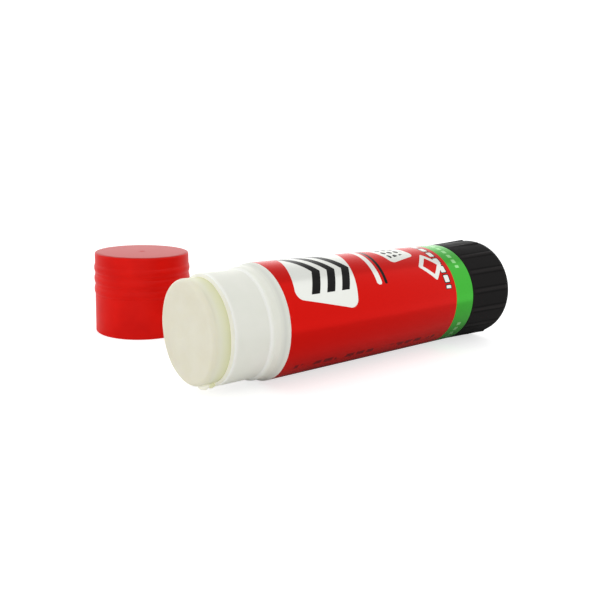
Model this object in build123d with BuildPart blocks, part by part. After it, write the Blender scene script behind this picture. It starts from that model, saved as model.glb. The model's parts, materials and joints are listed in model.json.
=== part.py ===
from build123d import *

import os
from math import cos, isclose, pi, radians, sqrt

os.makedirs("parts", exist_ok=True)

# A large twist-up glue stick lying on a table, with its cap standing upright behind it.
# +Z is up. The stick lies along X: its glue points to -X and its knob to +X.
# The origin is on the table, under the middle of the whole set.
# Stations run along the stick, from the glue's face towards the knob, as first drawn out.
# All lengths are in millimetres.

# Barrel and label. Each radius steps in or out from the one named before it.
barrel_radius = 15.5
label_thickness = 0.15
label_length = 71.2
land_length = 0.4
shoulder_length = 1.8
shoulder_height = 0.75
collar_length = 2.8
collar_height = 0.65
collar_lead = 0.8
collar_round = 0.35
neck_length = 10.2
neck_wall = 0.8
rim_round = 0.25
floor_thickness = 1.5
floor_setback = 1.3
spigot_wall = 1.2
spigot_length = 3.1

# Glue
glue_clearance = 0.3
glue_proud = 5.0
glue_edge_round = 0.5
glue_shrinkage = 0.1
glue_bore_clearance = 0.3

# Travel of the carrier: back from where it stands now, and the gap at each stop
retract_travel = 6.0
stop_gap = 0.3

# Carrier: the cup that holds the glue's foot, with the nut in its middle
carrier_length = 10.0
cup_wall = 0.8
cup_base = 1.5
nut_wall = 1.9
nut_setback = 2.0
nut_hold = 5.0

# Keys that stop the carrier from turning, in grooves of the barrel's wall
key_count = 4
key_width = 1.4
key_height = 0.6
key_length = 3.0
key_clearance = 0.3
groove_setback = 2.3

# Spindle, a left-handed screw
lead = 6.0
core_radius = 3.1
thread_depth = 1.3
thread_crest = 1.3
thread_root = 2.5
thread_sink = 0.4
thread_clearance = 0.2
thread_end_gap = 0.6
tip_chamfer = 0.8
tail_width = 5.0
tail_length = 9.0
journal_land = 0.45
journal_clearance = 0.1
flange_lap = 2.9
flange_thickness = 1.3
end_play = 0.2

# Knob
knob_gap = 0.3
knob_length = 18.5
knob_flare = 0.5
knob_wall = 1.5
knob_clearance = 0.3
knob_end_wall = 1.6
knob_edge_round = 1.3
knob_front_round = 0.3
knob_dish_land = 1.6
knob_dish_depth = 0.8
hub_wall = 2.5
hub_gap = 0.3
socket_spare = 0.4

# Grip ribs on the knob, low at the front and proud at the rear
rib_count = 16
rib_round = 0.7
rib_height = 0.31
rib_front_gap = 0.7
rib_rear_gap = 2.6

# Cap
cap_height = 26.1
cap_inset = 0.05
cap_draft = 0.45
cap_top_wall = 1.3
cap_side_wall = 1.4
cap_top_round = 0.5
cap_mouth_round = 0.3
cap_collar_clearance = 0.05
cap_collar_gap = 0.2
cap_neck_clearance = 0.3
cap_shoulder_gap = 0.1
cap_ring_count = 3
cap_ring_pitch = 3.5
cap_ring_length = 2.6
cap_ring_height = 0.27
cap_first_ring = 5.1

# Where the cap stands, measured from the middle of the glue's face
cap_along = 18.3
cap_behind = 63.1

# How far every cutter runs past what it cuts
overrun = 1.0


# Radii that follow
seat_radius = barrel_radius - label_thickness
collar_radius = barrel_radius - shoulder_height
neck_radius = collar_radius - collar_height
bore_radius = neck_radius - neck_wall
glue_radius = bore_radius - glue_clearance
cup_inner_radius = glue_radius - cup_wall
key_radius = glue_radius + key_height
groove_radius = key_radius + key_clearance
groove_width = key_width + 2 * key_clearance
knob_front_radius = barrel_radius
knob_rear_radius = knob_front_radius + knob_flare
knob_bore_radius = knob_front_radius - knob_wall
knob_dish_radius = knob_rear_radius - knob_edge_round - knob_dish_land
spigot_radius = knob_bore_radius - knob_clearance
recess_radius = spigot_radius - spigot_wall
crest_radius = core_radius + thread_depth
nut_bore_radius = core_radius + thread_clearance
nut_radius = crest_radius + thread_clearance + nut_wall
glue_bore_radius = crest_radius + glue_bore_clearance
tail_corner_radius = tail_width / sqrt(2)
journal_radius = tail_corner_radius + journal_land
floor_hole_radius = journal_radius + journal_clearance
flange_radius = floor_hole_radius + flange_lap
hub_radius = tail_corner_radius + hub_wall
cap_mouth_radius = barrel_radius - cap_inset
cap_top_radius = cap_mouth_radius - cap_draft
cap_inner_radius = cap_top_radius - cap_side_wall
cap_collar_radius = collar_radius + cap_collar_clearance
cap_neck_radius = neck_radius + cap_neck_clearance

# Depths in the cap, whose mouth stops against the shoulder when it is on
cap_collar_depth = cap_shoulder_gap + collar_length + cap_collar_gap
cap_seat_depth = cap_shoulder_gap + collar_length + neck_length

# Stations along the stick
mouth = glue_proud
collar_front = mouth + neck_length
collar_rear = collar_front + collar_length
land_front = collar_rear + shoulder_length
label_front = land_front + land_length
label_rear = label_front + label_length
spigot_rear = label_rear + spigot_length
floor_rear = label_rear - floor_setback
floor_front = floor_rear - floor_thickness
flange_rear = floor_front - end_play
flange_front = flange_rear - flange_thickness
knob_front = label_rear + knob_gap
knob_rear = knob_front + knob_length
knob_inside = knob_rear - knob_dish_depth - knob_end_wall
hub_front = floor_rear + hub_gap
rib_front = knob_front + rib_front_gap
rib_rear = knob_rear - rib_rear_gap
carrier_rear = flange_front - stop_gap - retract_travel
carrier_front = carrier_rear - carrier_length
cup_floor = carrier_rear - cup_base
nut_front = carrier_front + nut_setback
key_front = carrier_rear - key_length
groove_front = collar_front + groove_setback
feed_travel = key_front - stop_gap - groove_front
spindle_tip = carrier_rear - feed_travel - nut_hold
glue_bore_front = spindle_tip - retract_travel - stop_gap
thread_front = spindle_tip + thread_root / 2 + thread_end_gap
thread_rear = flange_front - thread_root / 2 - thread_end_gap

# The stick rests on two of the knob's ribs, one on each side of its lowest line.
half_rib_angle = 180 / rib_count
rib_centre_radius = knob_rear_radius + rib_height - rib_round
axis_height = rib_centre_radius * cos(radians(half_rib_angle)) + rib_round

# The cap's widest place is its mouth or its lowest ring.
lowest_ring = cap_height - cap_first_ring - (cap_ring_count - 1) * cap_ring_pitch
cap_taper = cap_draft / cap_height
cap_reach = max(cap_mouth_radius, cap_mouth_radius - cap_taper * lowest_ring + cap_ring_height)

# Places in the set's own frame
face_x = -knob_rear / 2
axis_y = (axis_height - cap_behind - cap_reach) / 2
cap_x = face_x + cap_along
cap_y = axis_y + cap_behind

stick_axis = Axis((face_x, axis_y, axis_height), (1, 0, 0))
cap_axis = Axis((cap_x, cap_y, 0), (0, 0, 1))

# Profiles are drawn as (station, radius) on a plane through the stick's axis,
# and the cap's as (radius, height) on a plane through its own axis.
stick_profile = Plane(origin=(face_x, axis_y, axis_height), x_dir=(1, 0, 0), z_dir=(0, -1, 0))
cap_profile = Plane(origin=(cap_x, cap_y, 0), x_dir=(1, 0, 0), z_dir=(0, -1, 0))


# A plane across the stick at a station: its x is up and it faces the knob.
def section_at(station):
    return Plane(origin=(face_x + station, axis_y, axis_height), x_dir=(0, 0, 1), z_dir=(1, 0, 0))


# The circular edges of one radius, on the part that is being made.
def rings_of(part, radius):
    circles = part.edges().filter_by(GeomType.CIRCLE)
    return circles.filter_by(lambda edge: isclose(edge.radius, radius))


# The path of the thread's root from one station to another, turning as a left-handed screw.
def thread_path(front, rear):
    return Edge.make_helix(
        pitch=lead,
        height=rear - front,
        radius=core_radius,
        center=(face_x + front, axis_y, axis_height),
        normal=(1, 0, 0),
        lefthand=True,
    )


# Sweeps the thread's four-sided section along its path, grown all round by a clearance.
def sweep_thread(front, rear, clearance, mode):
    path = thread_path(front, rear)
    start = path @ 0
    outward = start - Vector(start.X, axis_y, axis_height)
    with BuildSketch(Plane(origin=start, x_dir=outward, z_dir=path % 0)) as section:
        with BuildLine():
            Polyline(
                (-thread_sink, -thread_root / 2 - clearance),
                (thread_depth + clearance, -thread_crest / 2 - clearance),
                (thread_depth + clearance, thread_crest / 2 + clearance),
                (-thread_sink, thread_root / 2 + clearance),
                close=True,
            )
        make_face()
    sweep(section.sketch, path=path, is_frenet=True, mode=mode)


# Tube: the white barrel with its neck, collar, shoulder, floor and the spigot behind it
with BuildPart() as tube:
    with BuildSketch(stick_profile):
        with BuildLine():
            Polyline(
                (mouth, bore_radius),
                (mouth, neck_radius),
                (collar_front, neck_radius),
                (collar_front + collar_lead, collar_radius),
                (collar_rear, collar_radius),
                (land_front, barrel_radius),
                (label_front, barrel_radius),
                (label_front, seat_radius),
                (label_rear, seat_radius),
                (label_rear, spigot_radius),
                (spigot_rear, spigot_radius),
                (spigot_rear, recess_radius),
                (floor_rear, recess_radius),
                (floor_rear, floor_hole_radius),
                (floor_front, floor_hole_radius),
                (floor_front, bore_radius),
                close=True,
            )
        make_face()
    revolve(axis=stick_axis)
    fillet(rings_of(tube, collar_radius), radius=collar_round)
    fillet(tube.edges().filter_by(GeomType.CIRCLE).group_by(Axis.X)[0], radius=rim_round)

    # The keys' grooves start behind the collar's front and run back to the floor.
    with BuildSketch(section_at(groove_front)):
        with PolarLocations((bore_radius - overrun + groove_radius) / 2, key_count):
            Rectangle(groove_radius - bore_radius + overrun, groove_width)
    extrude(amount=floor_front - groove_front, mode=Mode.SUBTRACT)
tube.part.label = "tube"
export_step(tube.part, "parts/tube.step")

# Label film: wrapped round the barrel, between the land and the knob
with BuildPart() as label_film:
    with BuildSketch(section_at(label_front)):
        Circle(barrel_radius)
        Circle(seat_radius, mode=Mode.SUBTRACT)
    extrude(amount=label_length)
label_film.part.label = "label_film"
export_step(label_film.part, "parts/label_film.step")

# Glue: a solid column, its foot cast into the carrier and its heart bored for the spindle
with BuildPart() as glue:
    with BuildSketch(stick_profile):
        with BuildLine():
            Polyline(
                (0, 0),
                (0, glue_radius),
                (carrier_front, glue_radius),
                (carrier_front, cup_inner_radius - glue_shrinkage),
                (cup_floor, cup_inner_radius - glue_shrinkage),
                (cup_floor, nut_radius + glue_shrinkage),
                (nut_front - glue_shrinkage, nut_radius + glue_shrinkage),
                (nut_front - glue_shrinkage, glue_bore_radius),
                (glue_bore_front, glue_bore_radius),
                (glue_bore_front, 0),
                close=True,
            )
        make_face()
    revolve(axis=stick_axis)
    fillet(glue.edges().filter_by(GeomType.CIRCLE).group_by(Axis.X)[0], radius=glue_edge_round)
glue.part.label = "glue"
export_step(glue.part, "parts/glue.step")

# Carrier: cup, nut and keys in one piece
with BuildPart() as carrier:
    with BuildSketch(stick_profile):
        with BuildLine():
            Polyline(
                (carrier_front, cup_inner_radius),
                (carrier_front, glue_radius),
                (carrier_rear, glue_radius),
                (carrier_rear, 0),
                (nut_front, 0),
                (nut_front, nut_radius),
                (cup_floor, nut_radius),
                (cup_floor, cup_inner_radius),
                close=True,
            )
        make_face()
    revolve(axis=stick_axis)
    with BuildSketch(section_at(key_front)):
        with PolarLocations((glue_radius - cup_wall / 2 + key_radius) / 2, key_count):
            Rectangle(key_radius - glue_radius + cup_wall / 2, key_width)
    extrude(amount=key_length)

    # The nut's thread lies in step with the spindle's, a whole number of turns along it.
    turns_ahead = int((nut_front - thread_front) / lead) - 1
    nut_thread_front = thread_front + turns_ahead * lead
    sweep_thread(nut_thread_front, carrier_rear + lead / 2, thread_clearance, Mode.SUBTRACT)
    with BuildSketch(section_at(nut_front - overrun)):
        Circle(nut_bore_radius)
    extrude(amount=carrier_rear - nut_front + 2 * overrun, mode=Mode.SUBTRACT)
carrier.part.label = "carrier"
export_step(carrier.part, "parts/carrier.step")

# Spindle: screw, flange, journal and square tail
with BuildPart() as spindle:
    with BuildSketch(stick_profile):
        with BuildLine():
            Polyline(
                (spindle_tip, 0),
                (spindle_tip, core_radius - tip_chamfer),
                (spindle_tip + tip_chamfer, core_radius),
                (flange_front, core_radius),
                (flange_front, flange_radius),
                (flange_rear, flange_radius),
                (flange_rear, journal_radius),
                (hub_front, journal_radius),
                (hub_front, 0),
                close=True,
            )
        make_face()
    revolve(axis=stick_axis)
    with BuildSketch(section_at(hub_front)):
        Rectangle(tail_width, tail_width)
    extrude(amount=tail_length)
    sweep_thread(thread_front, thread_rear, 0, Mode.ADD)
spindle.part.label = "spindle"
export_step(spindle.part, "parts/spindle.step")

# Knob: a ribbed shell with a closed end and a hub that holds the spindle's tail
with BuildPart() as knob:
    with BuildSketch(stick_profile):
        with BuildLine():
            Polyline(
                (knob_front, knob_bore_radius),
                (knob_front, knob_front_radius),
                (knob_rear, knob_rear_radius),
                (knob_rear, knob_dish_radius),
                (knob_rear - knob_dish_depth, knob_dish_radius - knob_dish_depth),
                (knob_rear - knob_dish_depth, 0),
                (hub_front, 0),
                (hub_front, hub_radius),
                (knob_inside, hub_radius),
                (knob_inside, knob_bore_radius),
                close=True,
            )
        make_face()
    revolve(axis=stick_axis)
    fillet(rings_of(knob, knob_rear_radius), radius=knob_edge_round)
    fillet(rings_of(knob, knob_front_radius), radius=knob_front_round)
    for index in range(rib_count):
        rib_angle = half_rib_angle + index * 2 * half_rib_angle
        with BuildSketch(section_at(rib_front)):
            with PolarLocations(knob_front_radius - rib_round, 1, start_angle=rib_angle):
                Circle(rib_round)
        with BuildSketch(section_at(rib_rear)):
            with PolarLocations(rib_centre_radius, 1, start_angle=rib_angle):
                Circle(rib_round)
        loft()
        with Locations(section_at(rib_rear)):
            with PolarLocations(rib_centre_radius, 1, start_angle=rib_angle):
                Sphere(rib_round)
    with BuildSketch(section_at(hub_front)):
        Rectangle(tail_width, tail_width)
    extrude(amount=tail_length + socket_spare, mode=Mode.SUBTRACT)
knob.part.label = "knob"
export_step(knob.part, "parts/knob.step")


# The cap's outer wall at a height above its mouth, without the rings
def cap_radius_at(height):
    return cap_mouth_radius - cap_taper * height


# Cap: drafted outside with three rounded grip rings, stepped inside to fit collar and neck
with BuildPart() as cap:
    with BuildSketch(cap_profile):
        with BuildLine():
            Polyline(
                (0, cap_height - cap_top_wall),
                (cap_inner_radius, cap_height - cap_top_wall),
                (cap_inner_radius, cap_seat_depth),
                (cap_neck_radius, cap_seat_depth),
                (cap_neck_radius, cap_collar_depth),
                (cap_collar_radius, cap_collar_depth),
                (cap_collar_radius, 0),
                (cap_mouth_radius, 0),
            )
            below = (cap_mouth_radius, 0)
            for index in range(cap_ring_count):
                middle = lowest_ring + index * cap_ring_pitch
                ring_foot = middle - cap_ring_length / 2
                ring_top = middle + cap_ring_length / 2
                Line(below, (cap_radius_at(ring_foot), ring_foot))
                ThreePointArc(
                    (cap_radius_at(ring_foot), ring_foot),
                    (cap_radius_at(middle) + cap_ring_height, middle),
                    (cap_radius_at(ring_top), ring_top),
                )
                below = (cap_radius_at(ring_top), ring_top)
            Polyline(below, (cap_top_radius, cap_height), (0, cap_height), (0, cap_height - cap_top_wall))
        make_face()
    revolve(axis=cap_axis)
    fillet(cap.edges().filter_by(GeomType.CIRCLE).group_by(Axis.Z)[-1], radius=cap_top_round)
    fillet(rings_of(cap, cap_mouth_radius), radius=cap_mouth_round)
cap.part.label = "cap"
export_step(cap.part, "parts/cap.step")

print("stick axis", face_x, axis_y, axis_height, "cap axis", cap_x, cap_y)
print("feed", feed_travel, "retract", retract_travel, "feed per radian", lead / (2 * pi))
print("neck", neck_radius, "cap bore", cap_neck_radius, "from", cap_collar_depth, "to", cap_seat_depth)
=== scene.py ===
import json
from math import cos, pi, radians, sin

import bpy
import numpy as np
from mathutils import Matrix, Vector


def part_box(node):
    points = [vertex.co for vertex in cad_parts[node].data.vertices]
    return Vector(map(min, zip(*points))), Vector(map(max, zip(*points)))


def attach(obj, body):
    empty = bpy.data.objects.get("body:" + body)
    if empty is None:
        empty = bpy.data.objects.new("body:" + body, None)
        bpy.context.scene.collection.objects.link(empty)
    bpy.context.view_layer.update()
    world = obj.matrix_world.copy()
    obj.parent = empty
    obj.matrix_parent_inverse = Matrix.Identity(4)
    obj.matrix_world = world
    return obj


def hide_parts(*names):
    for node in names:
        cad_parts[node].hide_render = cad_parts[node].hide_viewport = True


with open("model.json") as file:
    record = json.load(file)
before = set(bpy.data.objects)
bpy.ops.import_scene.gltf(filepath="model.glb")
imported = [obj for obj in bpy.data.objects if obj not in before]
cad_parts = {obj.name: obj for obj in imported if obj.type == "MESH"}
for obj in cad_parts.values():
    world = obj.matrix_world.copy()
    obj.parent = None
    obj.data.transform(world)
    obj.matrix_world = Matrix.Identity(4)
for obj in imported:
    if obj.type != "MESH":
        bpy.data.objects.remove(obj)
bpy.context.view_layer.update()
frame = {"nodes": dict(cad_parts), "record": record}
mm = 0.001  # everything below is worked out in millimetres, and meshes are written in metres

# Where the stick and the cap stand: their axes come from the record's mounts, the rest from the nodes.
mounts = {mount["name"]: mount for mount in frame["record"]["mounts"]}
axisY, axisZ = (value / mm for value in mounts["neck"]["pos_m"][1:])
capX, capY = (value / mm for value in mounts["cap_bore"]["pos_m"][:2])
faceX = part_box("glue")[0].x / mm


def stationsOf(node):
    # first and last station of a node: stations run along the stick from the glue's face, in mm
    low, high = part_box(node)
    return low.x / mm - faceX, high.x / mm - faceX


# Shapes

sharpAngle = 40  # faces that meet at more degrees than this show an edge


def onStick(station, angle, radius):
    # a point round the stick: the angle is 0 at the top and grows towards the side that faces the camera
    return np.stack(np.broadcast_arrays(
        faceX + station, axisY - radius * np.sin(angle), axisZ + radius * np.cos(angle)), axis=-1)


def onCap(height, angle, radius):
    # a point round the cap's upright axis
    return np.stack(np.broadcast_arrays(
        capX + radius * np.cos(angle), capY + radius * np.sin(angle), height), axis=-1)


def turns(count):
    # evenly spaced angles of one turn, as the columns of a grid
    return np.arange(count) * 2 * pi / count


def arc(centre, radius, start, end, count):
    # points (along, out) of a round edge: centre + radius * (cos, sin), from one angle to another in degrees
    angle = np.radians(np.linspace(start, end, count))
    return np.stack([centre[0] + radius * np.cos(angle), centre[1] + radius * np.sin(angle)], axis=-1)


def line(start, end, count):
    # points evenly spaced from start towards end, without the end itself
    share = np.arange(count)[:, None] / count
    return np.array(start) * (1 - share) + np.array(end) * share


def smoothMax(a, b, blendWidth):
    # the larger of two surfaces, rounded over blendWidth where they meet
    share = np.clip(0.5 + 0.5 * (a - b) / blendWidth, 0, 1)
    return b * (1 - share) + a * share + blendWidth * share * (1 - share)


def smoothStep(low, high, value):
    # 0 below low, 1 above high, and an S-shaped rise between them
    share = np.clip((value - low) / (high - low), 0, 1)
    return share * share * (3 - 2 * share)


def makeSkin(name, points, ring=False):
    # A grid of points, its columns closed into turns. A ring's last row meets its first row;
    # otherwise the first and last rows are single points, the poles that close the skin.
    rows, columns = points.shape[:2]
    if ring:
        vertices = points.reshape(-1, 3)
        grid = np.arange(rows * columns).reshape(rows, columns)
        grid = np.vstack([grid, grid[:1]])
        fans = []
    else:
        vertices = np.vstack([points[0, :1], points[1:-1].reshape(-1, 3), points[-1, :1]])
        grid = 1 + np.arange((rows - 2) * columns).reshape(rows - 2, columns)
        pole, last = np.zeros(columns, int), np.full(columns, len(vertices) - 1)
        fans = [np.stack([pole, grid[0], np.roll(grid[0], -1)], axis=1),
                np.stack([last, np.roll(grid[-1], -1), grid[-1]], axis=1)]
    beside = np.roll(grid, -1, axis=1)
    quads = np.stack([grid[:-1], grid[1:], beside[1:], beside[:-1]], axis=-1).reshape(-1, 4)

    # Six times the volume inside, from the pyramid that each face makes with the origin.
    corners = vertices[quads]
    volume = np.einsum("ij,ij->", np.cross(corners[:, 0], corners[:, 1]), corners[:, 2])
    volume += np.einsum("ij,ij->", np.cross(corners[:, 0], corners[:, 2]), corners[:, 3])
    for fan in fans:
        corners = vertices[fan]
        volume += np.einsum("ij,ij->", np.cross(corners[:, 0], corners[:, 1]), corners[:, 2])
    groups = [quads] + fans
    if volume < 0:
        groups = [group[:, ::-1] for group in groups]

    sizes = np.concatenate([np.full(len(group), group.shape[1]) for group in groups])
    mesh = bpy.data.meshes.new(name)
    mesh.vertices.add(len(vertices))
    mesh.vertices.foreach_set("co", (vertices * mm).ravel())
    mesh.loops.add(int(sizes.sum()))
    mesh.loops.foreach_set("vertex_index", np.concatenate([group.ravel() for group in groups]))
    mesh.polygons.add(len(sizes))
    mesh.polygons.foreach_set("loop_start", np.cumsum(sizes) - sizes)
    mesh.polygons.foreach_set("loop_total", sizes)
    mesh.update(calc_edges=True)
    mesh.shade_smooth()
    mesh.set_sharp_from_angle(angle=radians(sharpAngle))
    piece = bpy.data.objects.new(name, mesh)
    bpy.context.scene.collection.objects.link(piece)
    return piece


def fit(piece, body, material, standsFor=None):
    piece.data.materials.append(material)
    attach(piece, body)
    if standsFor:
        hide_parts(standsFor)
    return piece


# Materials

def linear(code):
    # sRGB hex to the linear colour that the shaders take
    parts = [int(code[i:i + 2], 16) / 255 for i in (1, 3, 5)]
    return tuple(c / 12.92 if c <= 0.04045 else ((c + 0.055) / 1.055) ** 2.4 for c in parts) + (1.0,)


def addNode(tree, kind, settings=None, inputs=None):
    # one node with its settings, and each input set to a value, a hex colour or another node's output
    node = tree.nodes.new(kind)
    for key, value in (settings or {}).items():
        setattr(node, key, value)
    for key, value in (inputs or {}).items():
        if isinstance(value, bpy.types.NodeSocket):
            tree.links.new(value, node.inputs[key])
        else:
            node.inputs[key].default_value = linear(value) if isinstance(value, str) else value
    return node


def newMaterial(name, look):
    # a Principled surface whose uniform values are set on its own sockets
    material = bpy.data.materials.new(name)
    material.use_nodes = True
    tree = material.node_tree
    shader = tree.nodes["Principled BSDF"]
    for key, value in look.items():
        shader.inputs[key].default_value = linear(value) if isinstance(value, str) else value
    return material, tree, shader


def placeOf(tree):
    # the place on the object, split into X, Y and Z in metres
    place = addNode(tree, "ShaderNodeTexCoord").outputs["Object"]
    return addNode(tree, "ShaderNodeSeparateXYZ", {}, {0: place}).outputs


def grainOf(tree, grainMm, detail=2.0):
    # noise on Object coordinates whose features are about grainMm across
    place = addNode(tree, "ShaderNodeTexCoord").outputs["Object"]
    return addNode(tree, "ShaderNodeTexNoise", {}, {
        "Vector": place, "Scale": 1 / (grainMm * mm), "Detail": detail}).outputs["Fac"]


def shareOf(tree, *spans):
    # the product of ramps (value, low, high), each of which climbs from 0 at low to 1 at high
    share = 1.0
    for value, low, high in spans:
        share = addNode(tree, "ShaderNodeMapRange", {}, {0: value, 1: low, 2: high, 4: share}).outputs[0]
    return share


def patches(tree, grainMm, low=0.3, detail=2.0):
    # soft patches about grainMm across, from 0 to 1
    return shareOf(tree, (grainOf(tree, grainMm, detail), low, 0.7))


def layered(tree, colour, layers):
    # a colour with others laid over it, each (share, colour) in turn
    for share, tint in layers:
        colour = addNode(tree, "ShaderNodeMix", {"data_type": "RGBA"}, {
            0: share, 6: colour, 7: tint}).outputs[2]
    return colour


def grainBump(tree, shader, grainMm, depthMm, detail=2.0):
    # a fine grain in the surface, as a bump
    bump = addNode(tree, "ShaderNodeBump", {}, {
        "Height": grainOf(tree, grainMm, detail), "Distance": depthMm * mm, "Strength": 1.0})
    tree.links.new(bump.outputs["Normal"], shader.inputs["Normal"])


# Cap: moulded red polypropylene, satin; its top is painted darker, a painted shade that tones down the bright
# backdrop it mirrors
capLook = {"colour": "#E41409", "deep": "#D60F07", "top": "#BC100A", "roughness": 0.34, "ior": 1.49,
           "specular": 0.08, "flowMm": 9.0, "grainMm": 0.5, "grainDepth": 0.01, "topDepth": 0.3}


def capPlastic():
    # Injection-moulded polypropylene: the colour goes all the way through, soft wide reflections.
    look = capLook
    material, tree, shader = newMaterial("MouldedPolypropyleneRed", {
        "Roughness": look["roughness"], "IOR": look["ior"], "Specular IOR Level": look["specular"]})
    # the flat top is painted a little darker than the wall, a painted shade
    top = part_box("cap")[1].z
    paintedTopShade = shareOf(tree, (placeOf(tree)["Z"], top - look["topDepth"] * mm, top - look["topDepth"] / 2 * mm))
    tree.links.new(layered(tree, look["deep"], [(patches(tree, look["flowMm"]), look["colour"]),
                                                (paintedTopShade, look["top"])]), shader.inputs["Base Color"])
    # the mould's fine spark-eroded grain, drawn coarser than it is so that it shows
    grainBump(tree, shader, look["grainMm"], look["grainDepth"])
    return material


# topRows are the radii of the top's rows, closer together round the gate mark; apart keeps rows distinct
capSize = {
    "topRound": 0.5, "mouthRound": 0.3, "mouthBevel": 0.1, "crown": 0.12,
    "topRows": (0, 0.3, 0.6, 0.75, 0.9, 1.1, 2, 4, 6, 8, 10, 12, 13.4), "apart": 0.01,
    "gateRadius": 0.9, "gateHeight": 0.1, "gateIn": 0.25, "gateOut": 0.1,
    "draft": 0.45, "rings": 3, "ringPitch": 3.5, "ringLength": 2.6, "ringHeight": 0.27, "ringPower": 0.8,
    "firstRing": 5.1, "inset": 0.05, "topWall": 1.3, "innerRadius": 13.6, "neckRadius": 14.4,
    "seatDepth": 13.1, "collarRadius": 14.8, "collarDepth": 3.1, "innerRound": 0.8, "innerStep": 0.5,
    "wallRows": 150, "columns": 192,
}


def buildCap():
    # Revolved skin: the outer wall is a cone with one low round swell for each grip ring,
    # the top is slightly crowned, and the inside steps in from the collar's bore to the neck's.
    s = capSize
    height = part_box("cap")[1].z / mm
    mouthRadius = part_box("label_film")[1].z / mm - axisZ - s["inset"]
    topRadius = mouthRadius - s["draft"]
    wallZ = np.linspace(s["mouthRound"], height - s["topRound"], s["wallRows"])
    wallR = mouthRadius - s["draft"] * wallZ / height
    for ring in range(s["rings"]):
        middle = height - s["firstRing"] - ring * s["ringPitch"]
        share = np.clip(1 - (2 * (wallZ - middle) / s["ringLength"]) ** 2, 0, 1)
        wallR = wallR + s["ringHeight"] * share ** s["ringPower"]
    # from the pole on top, out and down the wall, and back up inside, as (radius, height)
    edgeTop = height - s["crown"] - s["topRound"]
    topR = np.array([*s["topRows"], topRadius - s["topRound"] - s["apart"]])
    crown = s["crown"] * (1 - (topR / topRadius) ** 2)
    gateEdge = smoothStep(s["gateRadius"] - s["gateIn"], s["gateRadius"] + s["gateOut"], topR)
    top = np.stack([topR, height - s["crown"] + crown + s["gateHeight"] * (1 - gateEdge)], axis=-1)
    edge = arc((topRadius - s["topRound"], edgeTop), s["topRound"], 90, 0, 8)
    wall = np.stack([wallR, wallZ], axis=-1)[::-1]
    wall = wall[wall[:, 1] < edgeTop - 2 * s["apart"]]
    mouth = arc((mouthRadius - s["mouthRound"], s["mouthRound"]), s["mouthRound"], 0, -90, 7)
    insideTop = height - s["topWall"]
    inside = np.vstack([
        line((s["collarRadius"] + s["mouthBevel"], 0), (s["collarRadius"], s["mouthBevel"]), 2),
        line((s["collarRadius"], s["mouthBevel"]), (s["collarRadius"], s["collarDepth"]), 4),
        line((s["collarRadius"], s["collarDepth"]), (s["neckRadius"], s["collarDepth"]), 2),
        line((s["neckRadius"], s["collarDepth"]), (s["neckRadius"], s["seatDepth"]), 6),
        line((s["neckRadius"], s["seatDepth"]), (s["innerRadius"], s["seatDepth"]), 2),
        line((s["innerRadius"], s["seatDepth"]), (s["innerRadius"], insideTop - s["innerRound"]), 6),
        arc((s["innerRadius"] - s["innerRound"], insideTop - s["innerRound"]), s["innerRound"], 0, 90, 6),
        line((s["innerRadius"] - s["innerRound"] - s["innerStep"], insideTop), (0, insideTop), 8),
        [(0, insideTop)],
    ])
    profile = np.vstack([top, edge, wall, mouth, inside])
    points = onCap(profile[:, 1:], turns(s["columns"])[None, :], profile[:, :1])
    fit(makeSkin("cap_shell", points), "loose_cap", capPlastic(), "cap")
    print("cap built")


buildCap()


# Tube: white polypropylene, a little translucent, satin. Each band is a painted highlight or a painted shade
# round one edge of the neck:
# its tint, the edge that it is measured from, how far past that edge its middle is, and its half width.
tubeLook = {"colour": "#EEEFE5", "shade": "#E9EBE0", "edge": "#FBFCF6", "paintedStepShade": "#DADCD4",
            "roughness": 0.42, "ior": 1.49, "specular": 0.2, "scatter": 0.25, "scatterMm": 1.2,
            "scatterTint": (1.0, 1.0, 0.9), "flowMm": 7.0, "grainMm": 0.6, "grainDepth": 0.008,
            "bands": (("paintedStepShade", "label", -1.3, 1.2), ("edge", "rim", 0.0, 1.0), ("edge", "rim", 10.3, 0.6),
                      ("edge", "label", 0.3, 0.6))}


def tubePlastic():
    # Moulded natural-white polypropylene: satin and milky. The rim, the front of the collar and the shoulder
    # at the label get painted highlights, a painted glow for light through thin edges, and the step just
    # before the label gets a painted shade.
    look = tubeLook
    material, tree, shader = newMaterial("MouldedPolypropyleneWhite", {
        "Roughness": look["roughness"], "IOR": look["ior"], "Specular IOR Level": look["specular"],
        "Subsurface Weight": look["scatter"], "Subsurface Radius": look["scatterTint"],
        "Subsurface Scale": look["scatterMm"] * mm})
    layers = [(patches(tree, look["flowMm"]), look["colour"])]
    edges = {"rim": stationsOf("tube")[0], "label": stationsOf("label_film")[0]}
    along = placeOf(tree)["X"]
    for tint, start, past, width in look["bands"]:
        middle = (faceX + edges[start] + past) * mm
        away = addNode(tree, "ShaderNodeMath", {"operation": "SUBTRACT"}, {0: along, 1: middle}).outputs[0]
        away = addNode(tree, "ShaderNodeMath", {"operation": "ABSOLUTE"}, {0: away}).outputs[0]
        # each band is a painted highlight or a painted shade round its edge
        layers.append((shareOf(tree, (away, width * mm, 0.0)), look[tint]))
    tree.links.new(layered(tree, look["shade"], layers), shader.inputs["Base Color"])
    grainBump(tree, shader, look["grainMm"], look["grainDepth"])
    return material


innerLook = {"colour": "#E0E1D9", "shade": "#D3D4CB", "roughness": 0.42, "ior": 1.49, "scatter": 0.3,
             "scatterMm": 1.5, "scatterTint": (1.0, 1.0, 0.95), "flowMm": 5.0, "grainMm": 0.4,
             "grainDepth": 0.01}


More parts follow.
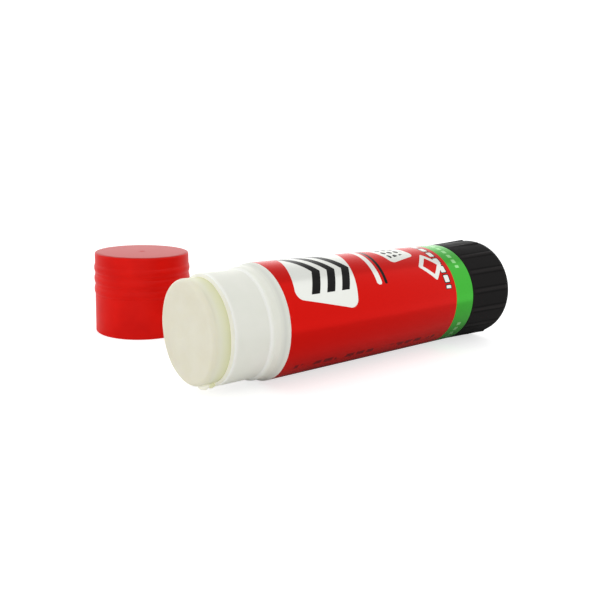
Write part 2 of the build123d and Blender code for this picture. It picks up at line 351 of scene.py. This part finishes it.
def innerPlastic():
    # Unpigmented polypropylene of the carrier and the screw: duller and greyer than the barrel.
    look = innerLook
    material, tree, shader = newMaterial("MouldedPolypropyleneNatural", {
        "Roughness": look["roughness"], "IOR": look["ior"], "Subsurface Weight": look["scatter"],
        "Subsurface Radius": look["scatterTint"], "Subsurface Scale": look["scatterMm"] * mm})
    flow = patches(tree, look["flowMm"])
    tree.links.new(layered(tree, look["shade"], [(flow, look["colour"])]), shader.inputs["Base Color"])
    grainBump(tree, shader, look["grainMm"], look["grainDepth"])
    return material


def dressNodes():
    natural = innerPlastic()
    for node, material in (("tube", tubePlastic()), ("spindle", natural), ("carrier", natural)):
        data = frame["nodes"][node].data
        data.materials.clear()
        data.materials.append(material)
    print("tube, spindle and carrier dressed")


dressNodes()


# Glue: a cream column, soft at its edge, worn a little uneven, with yellower sides painted a little lighter
# than the face, a painted highlight for their dimmer light, and a painted shade where the side goes into the
# neck. Each band is a tint and the two stations between which it takes over.
glueLook = {"face": "#E2DFCD", "faceWarm": "#DEDAC5", "side": "#E6E6D0", "paintedSideShade": "#DFE0B4",
            "pale": "#FCF9E6", "paintedSmearGlow": 0.12, "roughness": 0.5, "ior": 1.45, "specular": 0.3,
            "scatter": 0.35, "scatterMm": 2.5, "scatterTint": (1.0, 0.9, 0.55), "cloudMm": 6.0,
            "cloudFrom": 0.35, "dragMm": 1.1, "dragDepth": 0.05,
            "columnBands": (("side", 0.0, 2.0), ("paintedSideShade", 1.8, 4.4), ("side", 5.5, 10.0)),
            "crumbBands": (("paintedSideShade", 3.3, 3.9),)}
glueSize = {"edgeRound": 1.0, "edgeUneven": 0.35, "smear": 0.2, "bow": 0.12, "swell": 0.10, "swellWaves": 9,
            "faceSeat": 0.02, "sideStart": 1.1, "fineEnd": 12.0, "coarseStart": 13.0, "sideRows": 40,
            "wear": 0.05, "wearFrom": 1.0, "wearTo": 3.0, "faceRows": 30, "lipRows": 9, "columns": 256,
            "boreRadius": 4.7, "boreFront": 9.5, "innerRadius": 12.0, "nutRadius": 6.6, "nutSetback": 1.9}


def gluePaste(name, first, second, bands=(), glow=0.0):
    # Solid glue, soap and resin cast into a stick: waxy, cloudy, light soaks in and warms it.
    # Thin smears get a faint emission of their own colour, a painted glow.
    look = glueLook
    material, tree, shader = newMaterial(name, {
        "Emission Color": look[first], "Emission Strength": glow,
        "Roughness": look["roughness"], "IOR": look["ior"], "Specular IOR Level": look["specular"],
        "Subsurface Weight": look["scatter"], "Subsurface Radius": look["scatterTint"],
        "Subsurface Scale": look["scatterMm"] * mm})
    layers = [(patches(tree, look["cloudMm"], look["cloudFrom"], 3.0), look[second])]
    along = placeOf(tree)["X"]
    for tint, start, end in bands:
        layers.append((shareOf(tree, (along, (faceX + start) * mm, (faceX + end) * mm)), look[tint]))
    tree.links.new(layered(tree, look[first], layers), shader.inputs["Base Color"])
    # tiny drag marks from paper, drawn coarser than they are so that they show
    grainBump(tree, shader, look["dragMm"], look["dragDepth"], 4.0)
    return material


# counts are the waves in one turn, shift a wave's start, slopes its turn per mm, fade its loss with count
rippleShape = {"counts": (2, 3, 5, 8, 13), "shift": (0, 6.3), "slopes": (0.1, 0.5), "fade": 0.6, "sum": 2.2}


def ripple(angle, along, seed):
    # sum of a few slow waves round and along the column, between about -1 and 1
    s = rippleShape
    rng = np.random.default_rng(seed)
    total = 0
    for count in s["counts"]:
        wave = np.sin(count * angle + rng.uniform(*s["shift"]) + along * rng.uniform(*s["slopes"]))
        total = total + wave / count ** s["fade"]
    return total / s["sum"]


residueSize = {"ahead": 0.45, "overlap": 0.06, "rise": 0.76, "uneven": 0.25, "seat": 0.01, "columns": 360,
               "rows": 9}
crumbSize = {"angle": 161.5, "from": 0.9, "to": 6.2, "height": 1.3, "width": 1.3, "waistAt": 0.05,
             "waistWidth": 0.2, "waistDepth": 0.3, "uneven": 0.08, "waves": 4, "rows": 40, "columns": 48}


def buildResidue(column):
    # Glue wiped off on the neck's rim: a fillet round the mouth, whose height over the column grows as the
    # square of the share from its uneven tip to the rim's outer edge. It stays just outside the column,
    # which slides through it.
    s = residueSize
    angle = turns(s["columns"])[None, :]
    rim = stationsOf("tube")[0]
    tip = rim - s["ahead"] * (1 + s["uneven"] * ripple(angle, 0.0, 5))
    back = rim + s["overlap"]
    out = np.linspace(0, 1, s["rows"])[:, None]
    home = np.linspace(1, 0, 4)[:-1, None]
    share = np.concatenate([out, home])
    height = np.concatenate([s["rise"] * out ** 2, 0 * home])
    points = onStick(tip + (back - tip) * share, angle, column + s["seat"] + height)
    # the smear's faint emission is a painted glow
    smear = gluePaste("CastGlueSoapResinSmear", "pale", "pale", glow=glueLook["paintedSmearGlow"])
    fit(makeSkin("glue_residue", points, ring=True), "barrel", smear)


def buildCrumb(column):
    # A crumb of glue that sits on the column and the rim, low on the camera's side: a half spindle along
    # the stick whose size is the root of 1 - share squared, pinched at one place into a paler front lump
    # and a smaller rear one. Its underside lies flat, just outside the column.
    s = crumbSize
    share = np.linspace(-1, 1, s["rows"])[:, None]
    pinch = s["waistDepth"] * np.exp(-((share - s["waistAt"]) / s["waistWidth"]) ** 2)
    size = np.sqrt(np.clip(1 - share ** 2, 0, 1)) * (1 - pinch)
    around = turns(s["columns"])[None, :]
    size = size * (1 + s["uneven"] * ripple(around, share * s["waves"], 13))
    station = (s["from"] + s["to"]) / 2 + share * (s["to"] - s["from"]) / 2
    radius = column + residueSize["seat"] + s["height"] * size * np.clip(np.sin(around), 0, 1)
    angle = radians(s["angle"]) + s["width"] * size * np.cos(around) / column
    # the crumb's faint emission is a painted glow, and its rear lump takes the painted side shade
    crumb = gluePaste("CastGlueSoapResinCrumb", "pale", "pale", glueLook["crumbBands"], glueLook["paintedSmearGlow"])
    fit(makeSkin("glue_crumb", onStick(station, angle, radius)), "barrel", crumb)


def buildGlue():
    # Revolved skin from the face's pole to the bore's end. The face swells by slow waves of a tenth of a
    # millimetre, the edge's rounding grows and shrinks round the turn, and the side ripples slightly.
    s = glueSize
    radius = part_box("glue")[1].z / mm - axisZ + s["smear"]
    angle = turns(s["columns"])[None, :]
    rear, cupFloor = stationsOf("carrier")[0], stationsOf("glue")[1]
    nutFront = rear + s["nutSetback"]
    rounding = s["edgeRound"] * (1 + s["edgeUneven"] * ripple(angle, 0.0, 4))
    faceShare = np.linspace(0, 1, s["faceRows"])[:, None]
    waves = ripple(angle, faceShare * s["swellWaves"], 7) * faceShare * (1 - faceShare ** 6)
    bow = s["bow"] * (1 - faceShare ** 2) + s["swell"] * waves
    face = onStick(bow - s["faceSeat"], angle, faceShare * (radius - rounding))
    quarter = np.radians(np.linspace(90, 0, s["lipRows"]))[1:, None]
    lip = onStick(rounding * (1 - np.sin(quarter)), angle, radius - rounding + rounding * np.cos(quarter))
    sideS = np.concatenate([np.linspace(s["sideStart"], s["fineEnd"], s["sideRows"]),
                            np.linspace(s["coarseStart"], rear, s["sideRows"])])[:, None]
    worn = s["wear"] * smoothStep(s["wearFrom"], s["wearTo"], sideS)
    side = onStick(sideS, angle, radius - worn * (1 + ripple(angle, sideS, 11)) / 2)
    foot = np.vstack([
        line((rear, s["innerRadius"]), (cupFloor, s["innerRadius"]), 6),
        line((cupFloor, s["innerRadius"]), (cupFloor, s["nutRadius"]), 4),
        line((cupFloor, s["nutRadius"]), (nutFront, s["nutRadius"]), 4),
        line((nutFront, s["nutRadius"]), (nutFront, s["boreRadius"]), 2),
        line((nutFront, s["boreRadius"]), (s["boreFront"], s["boreRadius"]), 20),
        line((s["boreFront"], s["boreRadius"]), (s["boreFront"], 0), 4),
        [(s["boreFront"], 0)],
    ])
    points = np.concatenate([face, lip, side, onStick(foot[:, :1], angle, foot[:, 1:])])
    paste = gluePaste("CastGlueSoapResin", "face", "faceWarm", glueLook["columnBands"])
    fit(makeSkin("glue_column", points), "glue_carrier", paste, "glue")
    buildResidue(radius)
    buildCrumb(radius)
    print("glue built")


buildGlue()


# Label: a printed film with a lengthwise lap at the back
labelSize = {"film": 0.15, "lapAngle": 200.0, "lapWidth": 3.0, "lapStep": 0.12, "lapStart": -0.01,
             "lapRise": 0.12, "lapFall": 1.2, "rows": 72, "innerEvery": 8, "columns": 360, "uvSpan": 200.0}
labelLook = {"red": "#CA120B", "green": "#3CA533", "white": "#E4E6E0", "black": "#1A1A1A",
             "dark": "#861014", "pale": "#8FD186", "roughness": 0.2, "ior": 1.5, "specular": 0.03,
             "metallic": 0.35, "greenMetallic": 0.6, "edgeMm": 0.02, "foldAt": 8.0, "foldSlope": 0.55,
             "brokenMm": 5.0, "brokenFrom": 0.41, "brokenTo": 0.46, "waveMm": 12.0, "waveDepth": 0.08}

# The print, in the order of its layers. Each shape is a rounded box (mm along the label, mm round it from
# the top towards the camera) with half its size; an along below 0 counts from the rear edge. Every repeats
# the box in cells of that size within a field, given as half its size, round the same centre. A folded
# box lies on the folded plane, a broken one shows in patches only, and a hole is cut out of its box.
labelPrint = [
    # the green band at the knob, first because its mask sets the metallic part too, and the dark edges
    # of a row of small squares
    {"ink": "green", "centre": (-3.9, 0.0), "half": (4.0, 80.0)},
    {"ink": "black", "centre": (60.2, 0.0), "half": (1.35, 1.4), "corner": 0.4, "every": (20.0, 3.2),
     "field": (1.6, 19.2)},
    # white: the front panel, the bar, the dotted plate, the diamond, the squares and the field at the back
    {"ink": "white", "centre": (16.5, 3.0), "half": (10.0, 15.5), "corner": 2.4, "turn": -14},
    {"ink": "white", "centre": (34.5, -3.0), "half": (0.9, 18.0), "corner": 0.8, "turn": -6},
    {"ink": "white", "centre": (46.0, 0.0), "half": (5.6, 7.4), "corner": 1.6, "turn": 12},
    {"ink": "white", "centre": (56.0, 11.0), "half": (3.6, 3.6), "corner": 0.5, "turn": 45,
     "hole": (2.2, 2.2), "holeCorner": 0.2},
    {"ink": "white", "centre": (60.2, 0.0), "half": (1.0, 1.1), "corner": 0.3, "every": (20.0, 3.2),
     "field": (1.4, 19.0)},
    {"ink": "white", "centre": (32.0, -31.0), "half": (24.0, 9.0), "corner": 1.6},
    # black: chevrons on the panel, the line beside the bar and dots on the plate
    {"ink": "black", "centre": (18.6, 6.0), "half": (1.35, 20.0), "corner": 0.1, "every": (5.1, 80.0),
     "field": (7.6, 9.0), "folded": True},
    {"ink": "black", "centre": (37.0, -3.0), "half": (0.5, 18.0), "corner": 0.4, "turn": -6},
    {"ink": "black", "centre": (46.0, 0.0), "half": (0.85, 0.85), "corner": 0.85, "turn": 12,
     "every": (2.6, 2.6), "field": (3.9, 5.4)},
    # two rows of pale dashes on the green band, broken marks low on the front, and rules at the back
    {"ink": "pale", "centre": (-3.9, -1.0), "half": (0.8, 0.7), "corner": 0.2, "every": (20.0, 2.3),
     "field": (0.9, 14.0)},
    {"ink": "pale", "centre": (-3.9, 36.0), "half": (0.8, 0.7), "corner": 0.2, "every": (20.0, 2.3),
     "field": (0.9, 5.0)},
    {"ink": "dark", "centre": (31.0, 35.0), "half": (1.5, 0.8), "corner": 0.2, "every": (3.9, 9.0),
     "field": (27.0, 1.0), "broken": True},
    {"ink": "black", "centre": (32.0, -31.0), "half": (2.2, 0.3), "corner": 0.1, "every": (5.6, 2.2),
     "field": (21.0, 6.6)},
]


def labelFilm(outer, length):
    # Glossy polypropylene film printed on its back: sharp reflections over flat ink.
    look = labelLook
    material, tree, shader = newMaterial("PrintedPolypropyleneFilm", {
        "Roughness": look["roughness"], "IOR": look["ior"], "Specular IOR Level": look["specular"]})
    mapped = addNode(tree, "ShaderNodeUVMap", {"uv_map": "printMap"}).outputs["UV"]
    topRound = (360 - labelSize["lapAngle"]) / 360 * 2 * pi * outer
    # (mm along the label, mm round it from the top towards the camera)
    flat = addNode(tree, "ShaderNodeVectorMath", {"operation": "MULTIPLY_ADD"}, {
        0: mapped, 1: (labelSize["uvSpan"],) * 2 + (0,), 2: (0, -topRound, 0)}).outputs[0]
    # the plane folded along a line round the stick, so that straight bars become chevrons
    parts = addNode(tree, "ShaderNodeSeparateXYZ", {}, {0: flat}).outputs
    aside = addNode(tree, "ShaderNodeMath", {"operation": "SUBTRACT"}, {0: parts["Y"], 1: look["foldAt"]})
    aside = addNode(tree, "ShaderNodeMath", {"operation": "ABSOLUTE"}, {0: aside.outputs[0]})
    leant = addNode(tree, "ShaderNodeMath", {"operation": "MULTIPLY_ADD"}, {
        0: aside.outputs[0], 1: look["foldSlope"], 2: parts["X"]}).outputs[0]
    folded = addNode(tree, "ShaderNodeCombineXYZ", {}, {0: leant, 1: parts["Y"]}).outputs[0]
    broken = shareOf(tree, (grainOf(tree, look["brokenMm"], 0.0), look["brokenFrom"], look["brokenTo"]))

    def boxMask(shape, half, corner=0.0, every=None):
        # 1 where the distance from the box, drawn in by its corner's radius, is under that radius, else 0
        along, across = shape["centre"]
        away = addNode(tree, "ShaderNodeVectorMath", {"operation": "SUBTRACT"}, {
            0: folded if "folded" in shape else flat, 1: (along % length, across, 0)}).outputs[0]
        if every:
            cell = (*every, 1)
            away = addNode(tree, "ShaderNodeVectorMath", {"operation": "WRAP"}, {
                0: away, 1: [v / 2 for v in cell], 2: [-v / 2 for v in cell]}).outputs[0]
        if "turn" in shape:
            away = addNode(tree, "ShaderNodeVectorRotate", {"rotation_type": "Z_AXIS"}, {
                "Vector": away, "Angle": radians(shape["turn"])}).outputs[0]
        size = addNode(tree, "ShaderNodeVectorMath", {"operation": "ABSOLUTE"}, {0: away}).outputs[0]
        past = addNode(tree, "ShaderNodeVectorMath", {"operation": "SUBTRACT"}, {
            0: size, 1: (half[0] - corner, half[1] - corner, 1)}).outputs[0]
        past = addNode(tree, "ShaderNodeVectorMath", {"operation": "MAXIMUM"}, {
            0: past, 1: (0, 0, 0)}).outputs[0]
        distance = addNode(tree, "ShaderNodeVectorMath", {"operation": "LENGTH"}, {0: past}).outputs["Value"]
        return addNode(tree, "ShaderNodeMath", {"operation": "LESS_THAN"}, {
            0: distance, 1: corner + look["edgeMm"]}).outputs[0]

    layers = []
    for shape in labelPrint:
        mask = boxMask(shape, shape["half"], shape.get("corner", 0.0), shape.get("every"))
        limits = [boxMask(shape, shape["field"])] if "field" in shape else []
        for limit in limits + [broken] * ("broken" in shape):
            mask = addNode(tree, "ShaderNodeMath", {"operation": "MULTIPLY"}, {0: mask, 1: limit}).outputs[0]
        if "hole" in shape:
            hole = boxMask(shape, shape["hole"], shape["holeCorner"])
            mask = addNode(tree, "ShaderNodeMath", {"operation": "SUBTRACT"}, {0: mask, 1: hole}).outputs[0]
        layers.append((mask, look[shape["ink"]]))
    tree.links.new(layered(tree, look["red"], layers), shader.inputs["Base Color"])
    # the green ink is the more metallic one
    sheen = addNode(tree, "ShaderNodeMapRange", {}, {
        0: layers[0][0], 3: look["metallic"], 4: look["greenMetallic"]}).outputs[0]
    tree.links.new(sheen, shader.inputs["Metallic"])
    # the film's slight waves over the barrel
    grainBump(tree, shader, look["waveMm"], look["waveDepth"], 1.0)
    return material


def buildLabel():
    # Thin tube: outer skin, then the inner one. Past the lap's angle the film lies on itself,
    # so the outer radius is larger by lapStep over lapWidth. UV is (mm along, mm round) over uvSpan.
    s = labelSize
    front, rear = stationsOf("label_film")
    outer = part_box("label_film")[1].z / mm - axisZ
    start = radians(s["lapAngle"])
    turn = turns(s["columns"])[None, :]
    arcMm = turn * outer
    lap = smoothStep(s["lapStart"], s["lapRise"], arcMm)
    lap = lap * (1 - smoothStep(s["lapWidth"], s["lapWidth"] + s["lapFall"], arcMm))
    outerS = np.linspace(front, rear, s["rows"])[:, None]
    innerS = outerS[::-s["innerEvery"]]
    points = np.concatenate([
        onStick(outerS, start + turn, outer + s["lapStep"] * lap),
        onStick(innerS, start + turn, (outer - s["film"]) + 0 * turn),
    ])
    piece = makeSkin("printed_label", points, ring=True)
    mesh = piece.data
    corner = np.zeros(len(mesh.loops), int)
    mesh.loops.foreach_get("vertex_index", corner)
    row, column = corner // s["columns"], corner % s["columns"]
    column = column.reshape(-1, 4)
    wraps = (column.max(axis=1) - column.min(axis=1) > s["columns"] / 2)[:, None]
    column = np.where(wraps & (column == 0), s["columns"], column).ravel()
    rowS = np.concatenate([outerS.ravel(), innerS.ravel() + s["uvSpan"] / 2])
    uv = np.stack([rowS[row] - front, column * 2 * pi * outer / s["columns"]], axis=-1) / s["uvSpan"]
    mesh.uv_layers.new(name="printMap").data.foreach_set("uv", uv.ravel())
    fit(piece, "barrel", labelFilm(outer, rear - front), "label_film")
    print("label built")


buildLabel()


# Knob: black plastic with grip ribs that rise towards the rear
knobLook = {"colour": "#222121", "crest": "#2B2929", "groove": "#171616", "crestCore": 0.275,
            "crestHalf": 0.55, "grooveAt": 0.85, "grooveEnd": 1.3, "ribFade": 1.0, "shellDepth": 0.5,
            "roughness": 0.34, "roughnessSpread": 0.05, "specular": 0.03, "ior": 1.2, "wearMm": 3.0,
            "grainMm": 0.45, "grainDepth": 0.012}
knobSize = {"gap": 0.3, "edgeRound": 1.3, "edgeFrom": 36.0, "edgeTo": 89.0, "frontRound": 0.3,
            "sideStart": 0.6, "bore": 14.0, "poleRing": 2.0, "flare": 0.5, "dishLand": 1.6,
            "dishDepth": 0.8, "endWall": 1.6, "ribs": 16, "ribRound": 0.7, "ribHeight": 0.31,
            "ribFrontGap": 0.7, "ribRearGap": 2.6, "ribBlend": 0.2, "ribTail": 0.95, "flankFall": 0.8,
            "frontFall": 3.0, "tailFall": 2.0, "sideRows": 44, "tailRows": 12, "edgeRows": 18,
            "columnsPerRib": 28}


def knobPlastic(front, shell):
    # Moulded black polypropylene: deep black, a broad dull sheen, the ribs' crests painted greyer as a
    # painted highlight and the creases beside them darker as a painted shade. Crest and crease are places in
    # mm round the shell from a rib's middle, so the angle from the nearest rib is compared with them over the
    # shell's radius.
    look = knobLook
    material, tree, shader = newMaterial("MouldedPolypropyleneBlack", {
        "IOR": look["ior"], "Specular IOR Level": look["specular"]})
    place = addNode(tree, "ShaderNodeTexCoord").outputs["Object"]
    offset = addNode(tree, "ShaderNodeVectorMath", {"operation": "MULTIPLY_ADD"}, {
        0: place, 1: (0, 1, 1), 2: (0, -axisY * mm, -axisZ * mm)}).outputs[0]
    distance = addNode(tree, "ShaderNodeVectorMath", {"operation": "LENGTH"}, {0: offset}).outputs["Value"]
    sides = addNode(tree, "ShaderNodeSeparateXYZ", {}, {0: offset}).outputs
    turn = addNode(tree, "ShaderNodeMath", {"operation": "ARCTAN2"}, {
        0: sides["Y"], 1: sides["Z"]}).outputs[0]
    half = pi / knobSize["ribs"]
    turn = addNode(tree, "ShaderNodeMath", {"operation": "ADD"}, {0: turn, 1: half}).outputs[0]
    away = addNode(tree, "ShaderNodeMath", {"operation": "WRAP"}, {0: turn, 1: half, 2: -half}).outputs[0]
    away = addNode(tree, "ShaderNodeMath", {"operation": "ABSOLUTE"}, {0: away}).outputs[0]
    ribStart = faceX + front + knobSize["ribFrontGap"]
    onRibs = ((placeOf(tree)["X"], (ribStart - look["ribFade"]) * mm, (ribStart + look["ribFade"]) * mm),
              (distance, (shell - look["shellDepth"]) * mm, shell * mm))
    core, crest, groove, end = (
        look[key] / shell for key in ("crestCore", "crestHalf", "grooveAt", "grooveEnd"))
    # the creases get a painted shade, then the crests a painted highlight over it
    tree.links.new(layered(tree, look["colour"], [
        (shareOf(tree, *onRibs, (away, crest, groove), (away, end, groove)), look["groove"]),
        (shareOf(tree, *onRibs, (away, crest, core)), look["crest"])]), shader.inputs["Base Color"])
    wear = addNode(tree, "ShaderNodeMapRange", {}, {
        0: patches(tree, look["wearMm"], detail=3.0), 3: look["roughness"] - look["roughnessSpread"],
        4: look["roughness"] + look["roughnessSpread"]}).outputs[0]
    tree.links.new(wear, shader.inputs["Roughness"])
    grainBump(tree, shader, look["grainMm"], look["grainDepth"])
    return material


def buildKnob():
    # Revolved skin whose side is the larger of the shell and of the ribs. A rib is a round bar on a line
    # that rises from the shell's surface to ribHeight above it and ends in a ball.
    s = knobSize
    front, rear = stationsOf("label_film")[1] + s["gap"], stationsOf("knob")[1]
    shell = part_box("label_film")[1].z / mm - axisZ
    angle = turns(s["ribs"] * s["columnsPerRib"])[None, :]
    pitch = 2 * pi / s["ribs"]
    apart = np.abs((angle % pitch) - pitch / 2)  # angle from the nearest rib's crest
    ribFront, ribRear = front + s["ribFrontGap"], rear - s["ribRearGap"]
    rearShell = shell + s["flare"]

    def shellRadius(station):
        cone = shell + s["flare"] * (station - front) / (rear - front)
        past = np.clip(station - (rear - s["edgeRound"]), 0, s["edgeRound"])
        rounded = rearShell - s["edgeRound"] + np.sqrt(s["edgeRound"] ** 2 - past ** 2)
        near = np.clip(s["frontRound"] - (station - front), 0, s["frontRound"])
        frontDrop = s["frontRound"] - np.sqrt(s["frontRound"] ** 2 - near ** 2)
        return np.where(past > 0, rounded, cone) - frontDrop

    def ribRadius(station):
        climb = np.clip((station - ribFront) / (ribRear - ribFront), 0, 1)
        centre = shell - s["ribRound"] + climb * (s["flare"] + s["ribHeight"])
        past = np.clip(station - ribRear, 0, None)
        before = np.clip(ribFront - station, 0, None)
        thick = np.sqrt(np.clip(s["ribRound"] ** 2 - past ** 2, 0, None))
        aside = centre * np.sin(apart)
        height = np.sqrt(np.clip(thick ** 2 - aside ** 2, 0, None))
        fall = (s["flankFall"] * np.clip(aside - thick, 0, None) + s["frontFall"] * before
                + s["tailFall"] * np.clip(past - s["ribRound"], 0, None))
        return centre * np.cos(apart) + height - fall

    edgeAngle = np.radians(np.linspace(s["edgeFrom"], s["edgeTo"], s["edgeRows"]))
    sideS = np.concatenate([
        np.linspace(front, front + s["frontRound"], 6),
        np.linspace(front + s["sideStart"], ribRear, s["sideRows"])[:-1],
        ribRear + np.linspace(0, 1, s["tailRows"])[:-1] * s["ribTail"],
        rear - s["edgeRound"] * (1 - np.sin(edgeAngle)),
    ])[:, None]
    side = onStick(sideS, angle, smoothMax(shellRadius(sideS), ribRadius(sideS), s["ribBlend"]))
    endRadius = rearShell - s["edgeRound"]
    dishRadius = endRadius - s["dishLand"]
    floorS = rear - s["dishDepth"]
    end = np.vstack([
        line((rear, endRadius), (rear, dishRadius), 3),
        line((rear, dishRadius), (floorS, dishRadius - s["dishDepth"]), 3),
        line((floorS, dishRadius - s["dishDepth"]), (floorS, 0), 5),
        [(floorS, 0)],
    ])
    wallEnd = floorS - s["endWall"]
    inside = np.vstack([
        [(wallEnd, 0)],
        line((wallEnd, s["poleRing"]), (wallEnd, s["bore"]), 5),
        line((wallEnd, s["bore"]), (front, s["bore"]), 5),
        line((front, s["bore"]), (front, shell - s["frontRound"]), 3),
    ])
    points = np.concatenate([onStick(inside[:, :1], angle, inside[:, 1:]), side,
                             onStick(end[:, :1], angle, end[:, 1:])])
    fit(makeSkin("knob_shell", points), "twist_knob", knobPlastic(front, shell), "knob")
    print("knob built")


buildKnob()


# Stage: a pale floor with a painted shadow along the stick, a bright backdrop behind the set, soft light from
# overhead and a low one in front.
# Each ramp (from, to) is a range of the direction's part in Y or Z.
stageLook = {"shadeGrey": 0.03, "shadeFrom": 6.0, "shadeTo": 18.0, "shadeStart": 5.0, "shadeFull": 35.0,
             "floorGrey": 0.88, "floorGlow": 0.04, "seenGrey": 0.6, "seenGlow": 0.68, "floorSize": 40000.0,
             "floorRoughness": 0.9, "floorSpecular": 0.1, "around": 0.82, "backdrop": 1.7,
             "behindRamp": (-0.1, 0.5), "lowRamp": (0.7, 0.35), "overhead": 0.5, "overheadRamp": (0.88, 0.97),
             "seen": 1.1, "frontLevel": 0.65, "frontWidth": 1600.0, "frontHeight": 1200.0, "frontGap": 72.0}


def buildFloor():
    look = stageLook
    half = look["floorSize"] * mm / 2
    mesh = bpy.data.meshes.new("floor")
    corners = [(-half, -half, 0), (half, -half, 0), (half, half, 0), (-half, half, 0)]
    mesh.from_pydata(corners, [], [(0, 1, 2, 3)])
    floor = bpy.data.objects.new("floor", mesh)
    bpy.context.scene.collection.objects.link(floor)
    # Matt white sheet. The camera sees it washed out, as in a cut-out photograph, so its shadows stay faint;
    # for every other ray it is a plain pale floor with a painted shadow, a dark strip along the stick.
    material, tree, shader = newMaterial("MattWhiteSheet", {
        "Roughness": look["floorRoughness"], "Specular IOR Level": look["floorSpecular"],
        "Emission Color": "#FFFFFF"})
    seen = addNode(tree, "ShaderNodeLightPath").outputs["Is Camera Ray"]
    parts = placeOf(tree)
    across = addNode(tree, "ShaderNodeMath", {"operation": "SUBTRACT"}, {0: parts["Y"], 1: axisY * mm})
    across = addNode(tree, "ShaderNodeMath", {"operation": "ABSOLUTE"}, {0: across.outputs[0]}).outputs[0]
    # the painted shadow: dark grey in a strip along the stick, for rays other than the camera's
    shade = shareOf(tree, (across, look["shadeTo"] * mm, look["shadeFrom"] * mm),
                    (parts["X"], (faceX + look["shadeStart"]) * mm, (faceX + look["shadeFull"]) * mm))
    plain = addNode(tree, "ShaderNodeMapRange", {}, {
        0: shade, 3: look["floorGrey"], 4: look["shadeGrey"]}).outputs[0]
    grey = addNode(tree, "ShaderNodeMix", {"data_type": "FLOAT"}, {
        0: seen, 2: plain, 3: look["seenGrey"]}).outputs[0]
    glow = addNode(tree, "ShaderNodeMapRange", {}, {
        0: seen, 3: look["floorGlow"], 4: look["seenGlow"]}).outputs[0]
    tree.links.new(grey, shader.inputs["Base Color"])
    tree.links.new(glow, shader.inputs["Emission Strength"])
    mesh.materials.append(material)


def buildStudio():
    # The surroundings by direction: an even pale room, a bright backdrop behind the set up to some
    # 35 degrees, and a small soft light overhead. The camera itself sees plain white behind the floor.
    look = stageLook
    world = bpy.data.worlds.new("studio")
    world.use_nodes = True
    bpy.context.scene.world = world
    tree = world.node_tree
    direction = addNode(tree, "ShaderNodeTexCoord").outputs["Generated"]
    parts = addNode(tree, "ShaderNodeSeparateXYZ", {}, {0: direction}).outputs
    backdrop = shareOf(tree, (parts["Y"], *look["behindRamp"]), (parts["Z"], *look["lowRamp"]))
    level = addNode(tree, "ShaderNodeMapRange", {}, {
        0: backdrop, 3: look["around"], 4: look["backdrop"]}).outputs[0]
    overhead = shareOf(tree, (parts["Z"], *look["overheadRamp"]))
    level = addNode(tree, "ShaderNodeMath", {"operation": "MULTIPLY_ADD"}, {
        0: overhead, 1: look["overhead"], 2: level}).outputs[0]
    seen = addNode(tree, "ShaderNodeLightPath").outputs["Is Camera Ray"]
    strength = addNode(tree, "ShaderNodeMix", {"data_type": "FLOAT"}, {
        0: seen, 2: level, 3: look["seen"]}).outputs[0]
    tree.nodes["Background"].inputs["Color"].default_value = (1, 1, 1, 1)
    tree.links.new(strength, tree.nodes["Background"].inputs["Strength"])

    # a low panel along the front, which only shows as a mirrored edge along the label
    light = bpy.data.lights.new("front_panel", "AREA")
    light.shape = "RECTANGLE"
    light.size = look["frontWidth"] * mm
    light.size_y = look["frontHeight"] * mm
    light.energy = look["frontLevel"] * pi * light.size * light.size_y
    panel = bpy.data.objects.new("front_panel", light)
    panel.location = Vector((0, axisY - look["frontGap"], look["frontHeight"] / 2)) * mm
    panel.rotation_euler = (pi / 2, 0, 0)
    panel.visible_camera = False
    panel.visible_diffuse = False
    bpy.context.scene.collection.objects.link(panel)
    print("stage built")


buildFloor()
buildStudio()


# Camera: the place is measured from the middle of the glue's face, as the photograph shows the set
view = {"along": -71.8, "before": -132.7, "above": 43.22, "azimuth": 38.835, "elevation": -12.947,
        "roll": 1.841, "focal": 639.25, "imageSize": 600.0, "sensor": 36.0, "nearest": 5.0}


def buildCamera():
    azimuth, elevation, roll = (radians(view[key]) for key in ("azimuth", "elevation", "roll"))
    forward = Vector((sin(azimuth) * cos(elevation), cos(azimuth) * cos(elevation), sin(elevation)))
    level = forward.cross(Vector((0, 0, 1))).normalized()
    upright = level.cross(forward)
    right = cos(roll) * level + sin(roll) * upright
    up = right.cross(forward)
    data = bpy.data.cameras.new("camera")
    data.sensor_width = view["sensor"]
    data.lens = view["focal"] * view["sensor"] / view["imageSize"]
    data.clip_start = view["nearest"] * mm
    camera = bpy.data.objects.new("camera", data)
    place = Vector((faceX + view["along"], axisY + view["before"], axisZ + view["above"])) * mm
    camera.matrix_world = Matrix.Translation(place) @ Matrix((right, up, -forward)).transposed().to_4x4()
    bpy.context.scene.collection.objects.link(camera)
    bpy.context.scene.camera = camera
    print("camera placed")


buildCamera()
bpy.context.scene.view_settings.view_transform = "Standard"
